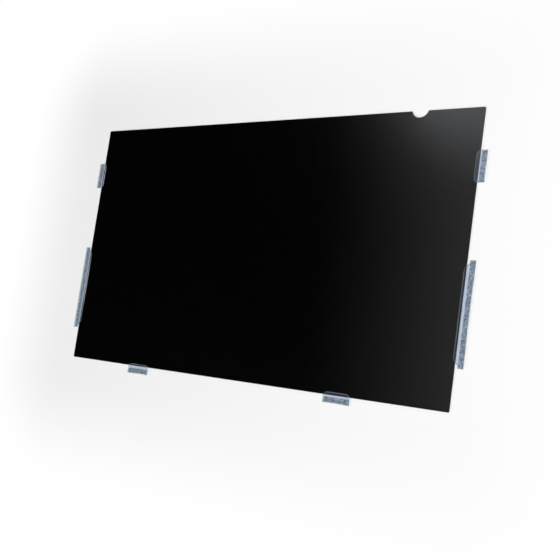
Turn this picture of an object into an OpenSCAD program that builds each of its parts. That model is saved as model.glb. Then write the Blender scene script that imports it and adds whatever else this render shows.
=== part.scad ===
// Privacy filter for a 24 inch wide screen. A louvred sheet slides down behind four
// short tabs and two long guides, and each of those sits on a strip of adhesive.
// Everything lies face up with its back on z = 0. +X is the viewer's right, and +Y is
// up the screen, towards the open edge that the sheet slides in from.

/* [Filter sheet] */
// Width of the sheet
sheet_w = 531; // [400:1:700]
// Height of the sheet
sheet_h = 299; // [250:1:420]
// Thickness of the sheet
sheet_t = 0.8; // [0.5:0.1:1.5]
// Radius of the sheet's corners
sheet_corner_r = 1.5; // [0.5:0.5:6]

/* [Finger notch] */
// Radius of the notch's arc
notch_r = 10; // [8:0.5:14]
// Depth of the notch below the top edge
notch_depth = 7; // [5:0.5:8]
// Distance of the notch's middle from the sheet's right edge
notch_from_right = 71.7; // [30:0.1:160]

/* [Short tabs] */
// Length of a short tab along the sheet's edge
tab_l = 32.5; // [20:0.5:60]
// Radius of the two corners of a short tab that reach over the sheet
tab_corner_r = 5; // [1:0.5:6]

/* [Long guides] */
// Length of a guide along the sheet's edge
guide_l = 104.5; // [70:0.5:130]
// Length of bare tail between each end of a guide and its flap
guide_tail = 3; // [1:0.5:8]
// Length of the slope at each end of a guide's flap
guide_slope = 5.2; // [1:0.1:12]

/* [Flaps and adhesive] */
// Width of the flap that reaches from the adhesive over the sheet
flap_w = 5.3; // [5:0.1:10]
// Thickness of the clear tabs and guides
tab_t = 0.7; // [0.4:0.1:1.5]
// Width of an adhesive strip
adhesive_w = 5.3; // [4:0.1:12]
// Bare rim between an adhesive strip and the outer edges of its tab
adhesive_rim = 0.8; // [0.3:0.1:2]
// Room between the sheet's front and the flaps
slot_clearance = 0.2; // [0.1:0.1:0.6]

/* [Places on the left edge] */
// Distance of the upper tab's middle from the sheet's top edge
left_upper_from_top = 60.5; // [40:0.5:90]
// Gap between the sheet and the upper tab's adhesive
left_upper_gap = 2.1; // [0.5:0.1:4]
// Distance of the guide's middle from the sheet's bottom edge
left_guide_from_bottom = 90.4; // [75:0.1:100]
// Gap between the sheet and the guide's adhesive
left_guide_gap = 2.3; // [0.5:0.1:4]

/* [Places on the right edge] */
// Distance of the upper tab's middle from the sheet's top edge
right_upper_from_top = 59.9; // [40:0.1:90]
// Gap between the sheet and the upper tab's adhesive
right_upper_gap = 1.8; // [0.5:0.1:4]
// Distance of the guide's middle from the sheet's bottom edge
right_guide_from_bottom = 94.2; // [75:0.1:100]
// Gap between the sheet and the guide's adhesive
right_guide_gap = 3.3; // [0.5:0.1:4]

/* [Places on the bottom edge] */
// Distance of the left tab's middle from the sheet's left edge
bottom_left_from_left = 117.7; // [50:0.1:160]
// Gap between the sheet and the left tab's adhesive
bottom_left_gap = 3.1; // [0.5:0.1:4]
// Distance of the right tab's middle from the sheet's right edge
bottom_right_from_right = 126.5; // [50:0.1:160]
// Gap between the sheet and the right tab's adhesive
bottom_right_gap = 2.2; // [0.5:0.1:4]

/* [Hidden] */
$fn = 64;
// A cut runs this far past the faces that it opens
cut_past = 1;
// The adhesive lifts the flaps clear of the sheet
adhesive_t = sheet_t + slot_clearance;
// The part of a tab that stands on its adhesive, outside the sheet
foot_w = adhesive_w + adhesive_rim;
left_edge = -sheet_w / 2;
right_edge = sheet_w / 2;
top_edge = sheet_h / 2;
bottom_edge = -sheet_h / 2;

// A rectangle round the origin whose corners are true arcs
module rounded_rectangle(w, h, r) {
    square([w, h - 2 * r], center = true);
    square([w - 2 * r, h], center = true);
    for (x = [-1, 1], y = [-1, 1])
        translate([x * (w / 2 - r), y * (h / 2 - r)])
            circle(r = r);
}

// The outlines below lie along Y. Their adhesive starts at x = 0 and reaches outwards
// along +X, and their flap reaches over the sheet along -X.
module short_tab_outline() {
    flat_l = tab_l - 2 * tab_corner_r;
    translate([tab_corner_r - flap_w, -tab_l / 2])
        square([flap_w - tab_corner_r + foot_w, tab_l]);
    translate([-flap_w, -flat_l / 2])
        square([tab_corner_r, flat_l]);
    for (y = [-1, 1])
        translate([tab_corner_r - flap_w, y * flat_l / 2])
            circle(r = tab_corner_r);
}

module guide_outline() {
    flap_root = guide_l / 2 - guide_tail;
    flap_end = flap_root - guide_slope;
    polygon([[0, -guide_l / 2], [foot_w, -guide_l / 2],
             [foot_w, guide_l / 2], [0, guide_l / 2],
             [0, flap_root], [-flap_w, flap_end],
             [-flap_w, -flap_end], [0, -flap_root]]);
}

module clear_plate() {
    color([0.72, 0.79, 0.9, 0.5])
        translate([0, 0, adhesive_t])
            linear_extrude(tab_t)
                children();
}

module adhesive_strip(l) {
    color([0.55, 0.58, 0.62])
        translate([0, adhesive_rim - l / 2, 0])
            cube([adhesive_w, l - 2 * adhesive_rim, adhesive_t]);
}

// Each of these turns a tab or strip so that its flap points at the sheet
module on_left_edge(gap, y) {
    translate([left_edge - gap, y, 0])
        rotate(180)
            children();
}

module on_right_edge(gap, y) {
    translate([right_edge + gap, y, 0])
        children();
}

module on_bottom_edge(gap, x) {
    translate([x, bottom_edge - gap, 0])
        rotate(-90)
            children();
}

module filter_sheet() {
    color([0.06, 0.06, 0.07])
        difference() {
            linear_extrude(sheet_t)
                rounded_rectangle(sheet_w, sheet_h, sheet_corner_r);
            translate([right_edge - notch_from_right, top_edge - notch_depth + notch_r, -cut_past])
                cylinder(r = notch_r, h = sheet_t + 2 * cut_past);
        }
}

module left_upper_tab() {
    on_left_edge(left_upper_gap, top_edge - left_upper_from_top)
        clear_plate() short_tab_outline();
}

module left_upper_adhesive() {
    on_left_edge(left_upper_gap, top_edge - left_upper_from_top)
        adhesive_strip(tab_l);
}

module left_guide() {
    on_left_edge(left_guide_gap, bottom_edge + left_guide_from_bottom)
        clear_plate() guide_outline();
}

module left_guide_adhesive() {
    on_left_edge(left_guide_gap, bottom_edge + left_guide_from_bottom)
        adhesive_strip(guide_l);
}

module right_upper_tab() {
    on_right_edge(right_upper_gap, top_edge - right_upper_from_top)
        clear_plate() short_tab_outline();
}

module right_upper_adhesive() {
    on_right_edge(right_upper_gap, top_edge - right_upper_from_top)
        adhesive_strip(tab_l);
}

module right_guide() {
    on_right_edge(right_guide_gap, bottom_edge + right_guide_from_bottom)
        clear_plate() guide_outline();
}

module right_guide_adhesive() {
    on_right_edge(right_guide_gap, bottom_edge + right_guide_from_bottom)
        adhesive_strip(guide_l);
}

module bottom_left_tab() {
    on_bottom_edge(bottom_left_gap, left_edge + bottom_left_from_left)
        clear_plate() short_tab_outline();
}

module bottom_left_adhesive() {
    on_bottom_edge(bottom_left_gap, left_edge + bottom_left_from_left)
        adhesive_strip(tab_l);
}

module bottom_right_tab() {
    on_bottom_edge(bottom_right_gap, right_edge - bottom_right_from_right)
        clear_plate() short_tab_outline();
}

module bottom_right_adhesive() {
    on_bottom_edge(bottom_right_gap, right_edge - bottom_right_from_right)
        adhesive_strip(tab_l);
}

filter_sheet();
left_upper_tab();
left_upper_adhesive();
left_guide();
left_guide_adhesive();
right_upper_tab();
right_upper_adhesive();
right_guide();
right_guide_adhesive();
bottom_left_tab();
bottom_left_adhesive();
bottom_right_tab();
bottom_right_adhesive();
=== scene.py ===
"""Looks for a monitor privacy filter: a louvred sheet and the clear tabs that hold it."""
import math

import bpy
from bpy.props import FloatProperty, FloatVectorProperty, PointerProperty
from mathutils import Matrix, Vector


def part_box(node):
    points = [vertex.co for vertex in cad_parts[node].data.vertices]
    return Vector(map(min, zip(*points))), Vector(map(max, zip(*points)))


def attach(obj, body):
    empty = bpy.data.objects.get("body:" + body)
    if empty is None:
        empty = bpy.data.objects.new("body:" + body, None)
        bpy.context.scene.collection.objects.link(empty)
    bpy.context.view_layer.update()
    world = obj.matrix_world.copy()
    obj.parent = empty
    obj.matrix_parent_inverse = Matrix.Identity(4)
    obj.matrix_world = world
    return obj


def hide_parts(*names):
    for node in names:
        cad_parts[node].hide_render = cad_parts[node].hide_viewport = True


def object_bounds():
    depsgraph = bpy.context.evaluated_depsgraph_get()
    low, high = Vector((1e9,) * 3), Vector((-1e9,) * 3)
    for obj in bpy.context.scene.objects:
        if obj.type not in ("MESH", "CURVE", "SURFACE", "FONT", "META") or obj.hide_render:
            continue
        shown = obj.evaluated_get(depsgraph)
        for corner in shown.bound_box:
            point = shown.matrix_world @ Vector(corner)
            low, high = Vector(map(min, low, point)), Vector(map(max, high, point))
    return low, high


bl_info = {
    "name": "Monitor Privacy Filter",
    "version": (1, 0, 0),
    "blender": (4, 5, 0),
    "location": "View3D > Sidebar > Privacy Filter",
    "description": "Finishes a louvred privacy filter with its clear tabs and guides",
    "category": "Object",
}

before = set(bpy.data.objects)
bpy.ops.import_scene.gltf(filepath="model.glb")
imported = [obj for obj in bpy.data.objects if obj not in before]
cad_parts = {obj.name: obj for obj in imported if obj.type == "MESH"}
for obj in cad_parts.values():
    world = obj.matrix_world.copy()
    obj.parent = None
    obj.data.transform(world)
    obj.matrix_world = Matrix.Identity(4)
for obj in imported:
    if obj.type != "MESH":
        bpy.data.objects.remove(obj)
CAD_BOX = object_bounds()

SHEET = "filter_sheet"
SHEET_LOW, SHEET_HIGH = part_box(SHEET)
TABS = [name for name in sorted(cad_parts) if name.endswith(("_tab", "_guide"))]
STRIPS = [name for name in sorted(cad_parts) if name.endswith("_adhesive")]
# Least upward share of a normal that still counts as facing up
UP = 0.99
MERGE_REACH = 1e-6
FLAT_ANGLE = math.radians(0.2)
SMOOTH_ANGLE = math.radians(30)
WHITE = (1, 1, 1, 1)
CLEAR_TINT = (0.95, 0.975, 1, 1)
# Power with which a clear face mirrors more as it is seen from a lower angle
SLANT_POWER = 5.0


class SheetSettings(bpy.types.PropertyGroup):
    """Sizes and colours of the louvred sheet."""

    pitch: FloatProperty(
        name="Louvre pitch",
        description="Distance from one louvre to the next",
        default=0.000473, min=0.0003, max=0.002, unit="LENGTH", precision=5)
    depth: FloatProperty(
        name="Louvre depth",
        description="Height of a louvre inside the sheet",
        default=0.0006, min=0.0002, max=0.0007, unit="LENGTH", precision=5)
    thickness: FloatProperty(
        name="Louvre thickness",
        description="Thickness of one louvre",
        default=0.000035, min=0.00001, max=0.0001, unit="LENGTH", precision=6)
    margin: FloatProperty(
        name="Louvre margin",
        description="How far the louvres end inside the sheet's outline",
        default=0.0001, min=0.00005, max=0.001, unit="LENGTH", precision=5)
    louvre_colour: FloatVectorProperty(
        name="Louvre colour",
        description="Colour of the black louvres",
        default=(0.0007, 0.0007, 0.0008), subtype="COLOR", min=0, max=1)
    film_colour: FloatVectorProperty(
        name="Film colour",
        description="Colour of the smoke tint in the sheet's faces",
        default=(0.0004, 0.0004, 0.0005), subtype="COLOR", min=0, max=1)
    film_cover: FloatProperty(
        name="Film tint",
        description="Share of the light that each face of the sheet holds back",
        default=0.345, min=0, max=1, subtype="FACTOR")
    film_roughness: FloatVectorProperty(
        name="Film roughness",
        description="Least and greatest roughness of the sheet's satin faces",
        default=(0.18, 0.2), size=2, min=0, max=1)
    film_grain: FloatProperty(
        name="Film grain",
        description="Size of the anti-glare grain",
        default=0.0003, min=0.0001, max=0.002, unit="LENGTH", precision=5)
    edge_colour: FloatVectorProperty(
        name="Edge colour",
        description="Colour of the sheet's cut edge",
        default=(0.012, 0.012, 0.014), subtype="COLOR", min=0, max=1)


class TabSettings(bpy.types.PropertyGroup):
    """Sizes and colours of the clear tabs and guides."""

    edge_round: FloatProperty(
        name="Edge rounding",
        description="Radius of the tabs' front edges",
        default=0.00035, min=0.00005, max=0.0006, unit="LENGTH", precision=5)
    rim: FloatProperty(
        name="Rim width",
        description="Width of the frosted rim with painted highlight beside the rounded front edge",
        default=0.0004, min=0.0002, max=0.002, unit="LENGTH", precision=5)
    clear_colour: FloatVectorProperty(
        name="Clear colour",
        description="Faint blue cast of the clear plastic",
        default=(0.13, 0.18, 0.28), subtype="COLOR", min=0, max=1)
    clear_cover: FloatProperty(
        name="Haze",
        description="Share of each face that the plastic's haze covers",
        default=0.09, min=0, max=1, subtype="FACTOR")
    # The rim's light colour is a painted highlight: it stands in for the bright line that the tab's
    # edges catch
    rim_highlight_colour: FloatVectorProperty(
        name="Rim colour",
        description="Colour of the frosted rim with painted highlight",
        default=(0.31, 0.34, 0.39), subtype="COLOR", min=0, max=1)
    # How thickly the rim's frosting, and with it the painted highlight, covers the rim
    rim_highlight_cover: FloatProperty(
        name="Rim frosting",
        description="Share of the rim that the frosting covers",
        default=0.5, min=0, max=1, subtype="FACTOR")
    edge_colour: FloatVectorProperty(
        name="Edge colour",
        description="Colour of the cut edge itself",
        default=(0.37, 0.4, 0.46), subtype="COLOR", min=0, max=1)
    edge_cover: FloatProperty(
        name="Edge frosting",
        description="Share of the cut edge that the frosting covers",
        default=0.8, min=0, max=1, subtype="FACTOR")
    face_mirror: FloatProperty(
        name="Face mirroring",
        description="Share of the light that a face mirrors when it is seen straight on",
        default=0.04, min=0, max=1, subtype="FACTOR")
    edge_mirror: FloatProperty(
        name="Edge mirroring",
        description="Share of the light that the cut edge mirrors when it is seen straight on",
        default=0.3, min=0, max=1, subtype="FACTOR")


class AdhesiveSettings(bpy.types.PropertyGroup):
    """Sizes and colours of the adhesive strips."""

    edge_round: FloatProperty(
        name="Edge rounding",
        description="Radius of the strips' edges",
        default=0.0002, min=0.00005, max=0.0004, unit="LENGTH", precision=5)
    colour: FloatVectorProperty(
        name="Adhesive colour",
        description="Colour of the adhesive where light catches it",
        default=(0.15, 0.17, 0.22), subtype="COLOR", min=0, max=1)
    blotch: FloatProperty(
        name="Blotch size",
        description="Size of the patches where the adhesive has wetted out",
        default=0.0022, min=0.0005, max=0.01, unit="LENGTH", precision=4)
    cover: FloatVectorProperty(
        name="Adhesive cover",
        description="Share that the adhesive covers where it has wetted out and where it hasn't",
        default=(0.08, 0.36), size=2, min=0, max=1)


class StageSettings(bpy.types.PropertyGroup):
    """Floor, lamps and camera."""

    floor_colour: FloatVectorProperty(
        name="Floor colour",
        description="Colour of the floor",
        default=(0.93, 0.93, 0.93), subtype="COLOR", min=0, max=1)
    floor_fade: FloatProperty(
        name="Floor fade",
        description="Distance from the object at which the floor has faded to white",
        default=0.16, min=0.01, max=2, unit="LENGTH")
    key_power: FloatProperty(
        name="Key lamp",
        description="Power of the lamp above the right side",
        default=50, min=0, max=400, unit="POWER")
    sheen_power: FloatProperty(
        name="Sheen lamp",
        description="Power of the lamp whose blurred reflection lies on the sheet's top right corner",
        default=1.3, min=0, max=400, unit="POWER")
    fill_power: FloatProperty(
        name="Fill lamp",
        description="Power of the lamp that softens the shadows",
        default=45, min=0, max=400, unit="POWER")
    camera_place: FloatVectorProperty(
        name="Camera place",
        description="Where the camera stands",
        default=(0.6543, -0.1400, 0.8069), subtype="TRANSLATION", unit="LENGTH")
    camera_turn: FloatVectorProperty(
        name="Camera turn",
        description="How the camera is turned",
        default=(math.radians(11.941), math.radians(35.759), math.radians(9.98)),
        subtype="EULER", unit="ROTATION")
    camera_lens: FloatProperty(
        name="Camera lens",
        description="Focal length in millimetres on a 36 mm sensor",
        default=59.5, min=10, max=300)


# Modelling helpers

def start_clean():
    """Leaves nothing selected, because an operator acts on all that is."""
    if bpy.context.mode != "OBJECT":
        bpy.ops.object.mode_set(mode="OBJECT")
    bpy.ops.object.select_all(action="DESELECT")


def take(piece):
    """Makes a piece the only one selected."""
    start_clean()
    piece.select_set(True)
    bpy.context.view_layer.objects.active = piece


def edit_faces(piece, wanted):
    """Opens a piece in edit mode with the faces that wanted() accepts selected."""
    take(piece)
    bpy.ops.object.mode_set(mode="EDIT")
    bpy.ops.mesh.select_mode(type="FACE")
    bpy.ops.mesh.select_all(action="DESELECT")
    bpy.ops.object.mode_set(mode="OBJECT")
    for face in piece.data.polygons:
        face.select = wanted(face)
    bpy.ops.object.mode_set(mode="EDIT")


def merged_copy(node, name):
    """A copy of a CAD node with its loose triangles joined into whole flat faces."""
    piece = bpy.data.objects.new(name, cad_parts[node].data.copy())
    piece.data.name = name
    piece.data.materials.clear()
    bpy.context.scene.collection.objects.link(piece)
    take(piece)
    bpy.ops.object.mode_set(mode="EDIT")
    bpy.ops.mesh.select_all(action="SELECT")
    bpy.ops.mesh.remove_doubles(threshold=MERGE_REACH)
    bpy.ops.mesh.dissolve_limited(angle_limit=FLAT_ANGLE)
    bpy.ops.mesh.normals_make_consistent(inside=False)
    bpy.ops.object.mode_set(mode="OBJECT")
    return piece


def faces_up(face):
    return face.normal.z > UP


def give_materials(piece, *materials):
    piece.data.materials.clear()
    for material in materials:
        piece.data.materials.append(material)


def settle(piece, node):
    """Smooths a finished piece and puts it in its node's place."""
    take(piece)
    bpy.ops.object.shade_smooth_by_angle(angle=SMOOTH_ANGLE)
    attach(piece, "root")
    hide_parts(node)


# Material helpers

def new_material(name):
    material = bpy.data.materials.new(name)
    material.use_nodes = True
    material.node_tree.nodes.clear()
    return material, material.node_tree


def add(tree, kind, **sockets):
    """A node with some of its sockets set; an underscore in a name stands for a space."""
    made = tree.nodes.new("ShaderNode" + kind)
    for name, value in sockets.items():
        made.inputs[name.replace("_", " ")].default_value = value
    return made


def noise(tree, size, detail=2.0):
    """Noise on the piece's own coordinates, with grains of about that size in metres."""
    where = tree.nodes.new("ShaderNodeTexCoord")
    made = add(tree, "TexNoise", Scale=1 / size, Detail=detail)
    tree.links.new(where.outputs["Object"], made.inputs["Vector"])
    return made.outputs["Fac"]


def between(tree, value, low, high, start=0.35, end=0.65):
    """Maps a value that runs from start to end, as noise does, to run from low to high."""
    made = add(tree, "MapRange", From_Min=start, From_Max=end, To_Min=low, To_Max=high)
    tree.links.new(value, made.inputs["Value"])
    return made.outputs["Result"]


def math_node(tree, operation, *values):
    """One step of arithmetic on numbers and on what other nodes put out."""
    made = tree.nodes.new("ShaderNodeMath")
    made.operation = operation
    for socket, value in zip(made.inputs, values):
        if isinstance(value, float):
            socket.default_value = value
        else:
            tree.links.new(value, socket)
    return made.outputs["Value"]


def blend_colours(tree, value, first, second):
    made = tree.nodes.new("ShaderNodeMix")
    made.data_type = "RGBA"
    made.inputs["A"].default_value = (*first, 1)
    made.inputs["B"].default_value = (*second, 1)
    tree.links.new(value, made.inputs["Factor"])
    return made.outputs["Result"]


def shade(colour, share):
    return tuple(min(1.0, part * share) for part in colour)


def see_through(tree, solid, cover):
    """Mixes a solid finish over a clear one, in the share that cover gives."""
    clear = add(tree, "BsdfTransparent", Color=CLEAR_TINT)
    mixed = tree.nodes.new("ShaderNodeMixShader")
    tree.links.new(cover, mixed.inputs["Fac"])
    tree.links.new(clear.outputs["BSDF"], mixed.inputs[1])
    tree.links.new(solid, mixed.inputs[2])
    return mixed.outputs["Shader"]


def mirrored_share(tree, least):
    """Share of the light that a clear face mirrors, the same from either side."""
    slant = add(tree, "LayerWeight", Blend=0.5)
    steep = math_node(tree, "POWER", slant.outputs["Facing"], SLANT_POWER)
    return between(tree, steep, least, 1.0, start=0.0, end=1.0)


def finish_material(tree, surface):
    output = tree.nodes.new("ShaderNodeOutputMaterial")
    tree.links.new(surface, output.inputs["Surface"])


def film_material(sheet):
    """Smoke-tinted film with a fine anti-glare grain."""
    material, tree = new_material("smoke film")
    finish = add(
        tree, "BsdfPrincipled",
        Alpha=sheet.film_cover, Specular_IOR_Level=1.0, Specular_Tint=(0.93, 0.95, 1, 1))
    tint = blend_colours(
        tree, noise(tree, 0.03), sheet.film_colour, shade(sheet.film_colour, 0.6))
    tree.links.new(tint, finish.inputs["Base Color"])
    satin = between(tree, noise(tree, 0.02), *sheet.film_roughness)
    tree.links.new(satin, finish.inputs["Roughness"])
    grain = add(tree, "Bump", Strength=0.06, Distance=0.00002)
    tree.links.new(noise(tree, sheet.film_grain), grain.inputs["Height"])
    tree.links.new(grain.outputs["Normal"], finish.inputs["Normal"])
    finish_material(tree, finish.outputs["BSDF"])
    return material


def cut_edge_material(sheet):
    """Cut edge of the laminated sheet."""
    material, tree = new_material("cut sheet edge")
    finish = add(tree, "BsdfPrincipled", Specular_IOR_Level=0.2)
    tone = blend_colours(
        tree, noise(tree, 0.0006), sheet.edge_colour, shade(sheet.edge_colour, 2.2))
    tree.links.new(tone, finish.inputs["Base Color"])
    tree.links.new(between(tree, noise(tree, 0.001), 0.45, 0.7), finish.inputs["Roughness"])
    finish_material(tree, finish.outputs["BSDF"])
    return material


def louvre_material(sheet):
    """Matte black of the louvres."""
    material, tree = new_material("louvre black")
    finish = add(tree, "BsdfPrincipled", Roughness=0.95, Specular_IOR_Level=0.0)
    tone = blend_colours(
        tree, noise(tree, 0.004), sheet.louvre_colour, shade(sheet.louvre_colour, 0.5))
    tree.links.new(tone, finish.inputs["Base Color"])
    finish_material(tree, finish.outputs["BSDF"])
    return material


def clear_material(name, colour, cover, patch, mirrored):
    """Clear plastic with a faint haze under a face that mirrors at least that share."""
    material, tree = new_material(name)
    haze = add(tree, "BsdfPrincipled", Roughness=0.4, Specular_IOR_Level=0.0)
    tone = blend_colours(tree, noise(tree, patch), colour, shade(colour, 0.75))
    tree.links.new(tone, haze.inputs["Base Color"])
    share = between(tree, noise(tree, patch / 2), cover * 0.8, cover)
    body = see_through(tree, haze.outputs["BSDF"], share)
    gloss = add(tree, "BsdfAnisotropic", Color=WHITE)
    tree.links.new(between(tree, noise(tree, 0.003), 0.15, 0.19), gloss.inputs["Roughness"])
    face = tree.nodes.new("ShaderNodeMixShader")
    tree.links.new(mirrored_share(tree, mirrored), face.inputs["Fac"])
    tree.links.new(body, face.inputs[1])
    tree.links.new(gloss.outputs["BSDF"], face.inputs[2])
    finish_material(tree, face.outputs["Shader"])
    return material


def adhesive_material(strip):
    """Clear adhesive, mottled where it has and hasn't wetted out."""
    material, tree = new_material("mottled adhesive")
    glue = add(tree, "BsdfPrincipled", Roughness=0.55, Specular_IOR_Level=0.3)
    specks = noise(tree, strip.blotch / 3, detail=4.0)
    tone = blend_colours(tree, specks, shade(strip.colour, 0.7), strip.colour)
    tree.links.new(tone, glue.inputs["Base Color"])
    blotches = noise(tree, strip.blotch, detail=4.0)
    cover = between(tree, blotches, *strip.cover, start=0.4, end=0.6)
    finish_material(tree, see_through(tree, glue.outputs["BSDF"], cover))
    return material


def away_from_object(tree, fade):
    """0 within the object's box, rising to 1 at the fade's distance from it."""
    where = tree.nodes.new("ShaderNodeTexCoord")
    fold = tree.nodes.new("ShaderNodeVectorMath")
    fold.operation = "ABSOLUTE"
    tree.links.new(where.outputs["Object"], fold.inputs[0])
    past = tree.nodes.new("ShaderNodeVectorMath")
    past.operation = "SUBTRACT"
    half_width = CAD_BOX[1][0]
    half_depth = -CAD_BOX[0][1]
    past.inputs[1].default_value = (half_width, half_depth, 0)
    tree.links.new(fold.outputs["Vector"], past.inputs[0])
    outside = tree.nodes.new("ShaderNodeVectorMath")
    outside.operation = "MAXIMUM"
    tree.links.new(past.outputs["Vector"], outside.inputs[0])
    reach = tree.nodes.new("ShaderNodeVectorMath")
    reach.operation = "LENGTH"
    tree.links.new(outside.outputs["Vector"], reach.inputs[0])
    made = add(tree, "MapRange", From_Min=0.0, From_Max=fade)
    made.interpolation_type = "SMOOTHSTEP"
    tree.links.new(reach.outputs["Value"], made.inputs["Value"])
    return made.outputs["Result"]


def floor_material(stage):
    """Matt floor that the camera sees fade to plain white away from the object."""
    material, tree = new_material("plain floor")
    finish = add(tree, "BsdfPrincipled", Roughness=0.9, Specular_IOR_Level=0.1)
    tone = blend_colours(
        tree, noise(tree, 0.5), stage.floor_colour, shade(stage.floor_colour, 0.99))
    tree.links.new(tone, finish.inputs["Base Color"])
    white = add(tree, "Emission", Color=WHITE, Strength=1.0)
    path = tree.nodes.new("ShaderNodeLightPath")
    away = away_from_object(tree, stage.floor_fade)
    share = math_node(tree, "MULTIPLY", away, path.outputs["Is Camera Ray"])
    mixed = tree.nodes.new("ShaderNodeMixShader")
    tree.links.new(share, mixed.inputs["Fac"])
    tree.links.new(finish.outputs["BSDF"], mixed.inputs[1])
    tree.links.new(white.outputs["Emission"], mixed.inputs[2])
    finish_material(tree, mixed.outputs["Shader"])
    return material


# Operators, one for each kind of piece and one for the stage

class PRIVACY_OT_film(bpy.types.Operator):
    """Models the sheet's smoke film with its cut edge"""

    bl_idname = "privacy.film"
    bl_label = "Smoke Film"

    def execute(self, context):
        settings = context.scene.privacy_sheet
        film = merged_copy(SHEET, "smoke_film")
        give_materials(film, film_material(settings), cut_edge_material(settings))
        for face in film.data.polygons:
            face.material_index = int(abs(face.normal.z) < UP)
        settle(film, SHEET)
        return {"FINISHED"}


class PRIVACY_OT_louvres(bpy.types.Operator):
    """Models the upright black louvres inside the sheet"""

    bl_idname = "privacy.louvres"
    bl_label = "Louvres"

    def execute(self, context):
        settings = context.scene.privacy_sheet
        width = SHEET_HIGH.x - SHEET_LOW.x - 2 * settings.margin
        height = SHEET_HIGH.y - SHEET_LOW.y
        middle = (SHEET_LOW.z + SHEET_HIGH.z) / 2
        count = int(width / settings.pitch)
        first = -(count - 1) / 2 * settings.pitch
        start_clean()
        bpy.ops.mesh.primitive_cube_add(size=1, location=(first, 0, middle))
        louvres = context.object
        louvres.name = louvres.data.name = "louvres"
        louvres.scale = (settings.thickness, height, settings.depth)
        bpy.ops.object.transform_apply(location=True, rotation=True, scale=True)
        row = louvres.modifiers.new("row", "ARRAY")
        row.count = count
        row.use_relative_offset = False
        row.use_constant_offset = True
        row.constant_offset_displace = (settings.pitch, 0, 0)
        bpy.ops.object.modifier_apply(modifier=row.name)
        outline = self.outline(settings.margin)
        trim = louvres.modifiers.new("trim", "BOOLEAN")
        trim.operation = "INTERSECT"
        trim.solver = "EXACT"
        trim.object = outline
        take(louvres)
        bpy.ops.object.modifier_apply(modifier=trim.name)
        bpy.data.objects.remove(outline)
        give_materials(louvres, louvre_material(settings))
        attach(louvres, "root")
        return {"FINISHED"}

    def outline(self, margin):
        """The sheet's outline, drawn in by the margin and run past both faces."""
        block = merged_copy(SHEET, "outline")
        edit_faces(block, faces_up)
        bpy.ops.mesh.inset(thickness=margin)
        bpy.ops.mesh.select_all(action="INVERT")
        bpy.ops.mesh.delete(type="FACE")
        bpy.ops.mesh.select_all(action="SELECT")
        bpy.ops.mesh.delete_loose()
        bpy.ops.mesh.select_all(action="SELECT")
        thickness = SHEET_HIGH.z - SHEET_LOW.z
        bpy.ops.mesh.extrude_region_move(TRANSFORM_OT_translate={"value": (0, 0, -2 * thickness)})
        bpy.ops.mesh.select_all(action="SELECT")
        bpy.ops.transform.translate(value=(0, 0, thickness / 2))
        bpy.ops.mesh.normals_make_consistent(inside=False)
        bpy.ops.object.mode_set(mode="OBJECT")
        return block


class PRIVACY_OT_clear_tabs(bpy.types.Operator):
    """Models the clear tabs and guides with rounded front edges, and a rim of frosting whose light
    colour is a painted highlight along the edge
    """

    bl_idname = "privacy.clear_tabs"
    bl_label = "Clear Tabs and Guides"

    # Size of the patches of haze on the faces, on the rims and on the cut edges
    FACE_PATCH = 0.006
    RIM_PATCH = 0.004
    EDGE_PATCH = 0.002

    def execute(self, context):
        settings = context.scene.privacy_tab
        clear = clear_material(
            "clear plastic", settings.clear_colour, settings.clear_cover,
            self.FACE_PATCH, settings.face_mirror)
        # A frosted band whose light colour is a painted highlight along each tab's edge
        rim = clear_material(
            "frosted rim with painted highlight", settings.rim_highlight_colour, settings.rim_highlight_cover,
            self.RIM_PATCH, settings.face_mirror)
        edge = clear_material(
            "cut tab edge", settings.edge_colour, settings.edge_cover,
            self.EDGE_PATCH, settings.edge_mirror)
        for node in TABS:
            tab = merged_copy(node, "clear_" + node)
            give_materials(tab, clear, rim, edge)
            edit_faces(tab, faces_up)
            bpy.ops.mesh.bevel(offset=settings.edge_round, segments=3, affect="EDGES")
            edit_faces(tab, faces_up)
            bpy.ops.mesh.inset(thickness=settings.rim)
            bpy.ops.object.mode_set(mode="OBJECT")
            # Flat faces in the rim get the material with the painted highlight
            for face in tab.data.polygons:
                flat = abs(face.normal.z) > UP
                in_rim = faces_up(face) and not face.select
                face.material_index = int(in_rim) if flat else 2
            settle(tab, node)
        return {"FINISHED"}


class PRIVACY_OT_adhesive(bpy.types.Operator):
    """Models the adhesive strips under the outer half of each tab and guide"""

    bl_idname = "privacy.adhesive"
    bl_label = "Adhesive Strips"

    # Keeps a strip's top face from lying in the same plane as its tab
    UNDER_TAB = 0.00002

    def execute(self, context):
        settings = context.scene.privacy_adhesive
        mottled = adhesive_material(settings)
        for node in STRIPS:
            strip = merged_copy(node, "mottled_" + node)
            give_materials(strip, mottled)
            edit_faces(strip, lambda face: abs(face.normal.z) < UP)
            bpy.ops.mesh.bevel(offset=settings.edge_round, segments=2, affect="EDGES")
            edit_faces(strip, faces_up)
            bpy.ops.transform.translate(value=(0, 0, -self.UNDER_TAB))
            bpy.ops.object.mode_set(mode="OBJECT")
            settle(strip, node)
        return {"FINISHED"}


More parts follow.
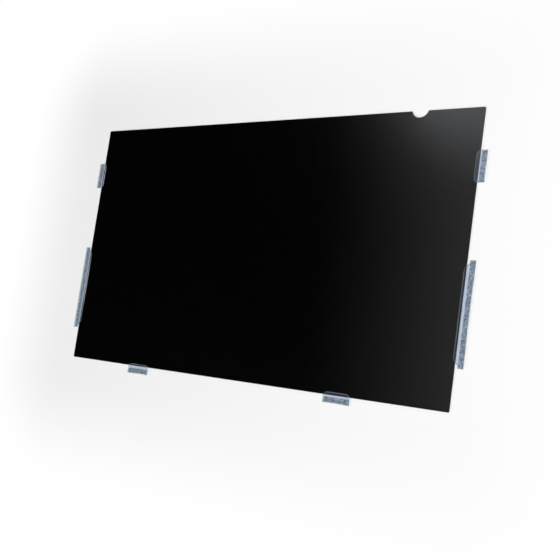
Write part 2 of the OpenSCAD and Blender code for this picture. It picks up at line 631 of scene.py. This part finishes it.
class PRIVACY_OT_stage(bpy.types.Operator):
    """Adds the floor, the lamps and the camera"""

    bl_idname = "privacy.stage"
    bl_label = "Stage"

    FLOOR_SIZE = 12
    # Keeps the floor from lying in the same plane as the backs of the pieces
    FLOOR_DROP = 0.0002
    SENSOR_WIDTH = 36
    NEAREST_SEEN = 0.01
    ROOM_STRENGTH = 0.015
    WALLS_STRENGTH = 0.4
    # Sines of the heights between which the pale walls give way to the dark ceiling
    WALLS_END = (0.26, 0.42)
    # Each lamp's place, and the side of its square
    LAMPS = {
        "key": ((1.2, 0.2, 2.0), 1.55),
        "sheen": ((-0.811, 0.943, 2.0), 0.3),
        "fill": ((-1.9, -1.7, 1.9), 1.5),
    }

    def execute(self, context):
        settings = context.scene.privacy_stage
        start_clean()
        bpy.ops.mesh.primitive_plane_add(
            size=self.FLOOR_SIZE, location=(0, 0, -self.FLOOR_DROP))
        floor = context.object
        floor.name = "floor"
        bpy.ops.object.transform_apply(location=True)
        give_materials(floor, floor_material(settings))
        powers = (settings.key_power, settings.sheen_power, settings.fill_power)
        for (name, (place, size)), power in zip(self.LAMPS.items(), powers):
            self.lamp(context, name, place, size, power)
        self.camera(context, settings)
        self.world(context)
        context.scene.view_settings.view_transform = "Standard"
        return {"FINISHED"}

    def lamp(self, context, name, place, size, power):
        """A square soft lamp that looks at the middle of the sheet."""
        bpy.ops.object.light_add(type="AREA", location=place)
        lamp = context.object
        lamp.name = name
        lamp.data.energy = power
        lamp.data.size = size
        lamp.rotation_euler = (-lamp.location).to_track_quat("-Z", "Y").to_euler()

    def camera(self, context, settings):
        bpy.ops.object.camera_add(
            location=settings.camera_place, rotation=settings.camera_turn)
        camera = context.object
        camera.data.lens = settings.camera_lens
        camera.data.sensor_width = self.SENSOR_WIDTH
        camera.data.clip_start = self.NEAREST_SEEN
        context.scene.camera = camera

    def world(self, context):
        """A dim room, white to the camera, with low pale walls for edges to mirror."""
        world = bpy.data.worlds.new("studio")
        context.scene.world = world
        world.use_nodes = True
        tree = world.node_tree
        tree.nodes.clear()
        light = add(tree, "Background", Color=WHITE, Strength=self.ROOM_STRENGTH)
        seen = add(tree, "Background", Color=WHITE, Strength=1.0)
        path = tree.nodes.new("ShaderNodeLightPath")
        where = tree.nodes.new("ShaderNodeTexCoord")
        height = tree.nodes.new("ShaderNodeSeparateXYZ")
        tree.links.new(where.outputs["Generated"], height.inputs["Vector"])
        low = between(tree, height.outputs["Z"], self.WALLS_STRENGTH, 0.0, *self.WALLS_END)
        walls = math_node(tree, "MULTIPLY", low, path.outputs["Is Glossy Ray"])
        share = math_node(tree, "MAXIMUM", walls, path.outputs["Is Camera Ray"])
        mixed = tree.nodes.new("ShaderNodeMixShader")
        output = tree.nodes.new("ShaderNodeOutputWorld")
        tree.links.new(share, mixed.inputs["Fac"])
        tree.links.new(light.outputs["Background"], mixed.inputs[1])
        tree.links.new(seen.outputs["Background"], mixed.inputs[2])
        tree.links.new(mixed.outputs["Shader"], output.inputs["Surface"])


class PRIVACY_PT_panel(bpy.types.Panel):
    """Sizes, colours and steps of the privacy filter"""

    bl_label = "Privacy Filter"
    bl_idname = "PRIVACY_PT_panel"
    bl_space_type = "VIEW_3D"
    bl_region_type = "UI"
    bl_category = "Privacy Filter"

    def draw(self, context):
        scene = context.scene
        for settings in (
                scene.privacy_sheet, scene.privacy_tab,
                scene.privacy_adhesive, scene.privacy_stage):
            box = self.layout.box()
            for name in settings.__annotations__:
                box.prop(settings, name)
        for step in STEPS:
            self.layout.operator(step.bl_idname)


STEPS = (
    PRIVACY_OT_film, PRIVACY_OT_louvres, PRIVACY_OT_clear_tabs,
    PRIVACY_OT_adhesive, PRIVACY_OT_stage)
SETTINGS = {
    "privacy_sheet": SheetSettings,
    "privacy_tab": TabSettings,
    "privacy_adhesive": AdhesiveSettings,
    "privacy_stage": StageSettings,
}


def register():
    for made in (*SETTINGS.values(), *STEPS, PRIVACY_PT_panel):
        bpy.utils.register_class(made)
    for name, group in SETTINGS.items():
        setattr(bpy.types.Scene, name, PointerProperty(type=group))


def unregister():
    for name in SETTINGS:
        delattr(bpy.types.Scene, name)
    for made in reversed((*SETTINGS.values(), *STEPS, PRIVACY_PT_panel)):
        bpy.utils.unregister_class(made)


def main():
    register()
    bpy.ops.privacy.film()
    bpy.ops.privacy.louvres()
    bpy.ops.privacy.clear_tabs()
    bpy.ops.privacy.adhesive()
    bpy.ops.privacy.stage()
    start_clean()


if __name__ == "__main__":
    main()
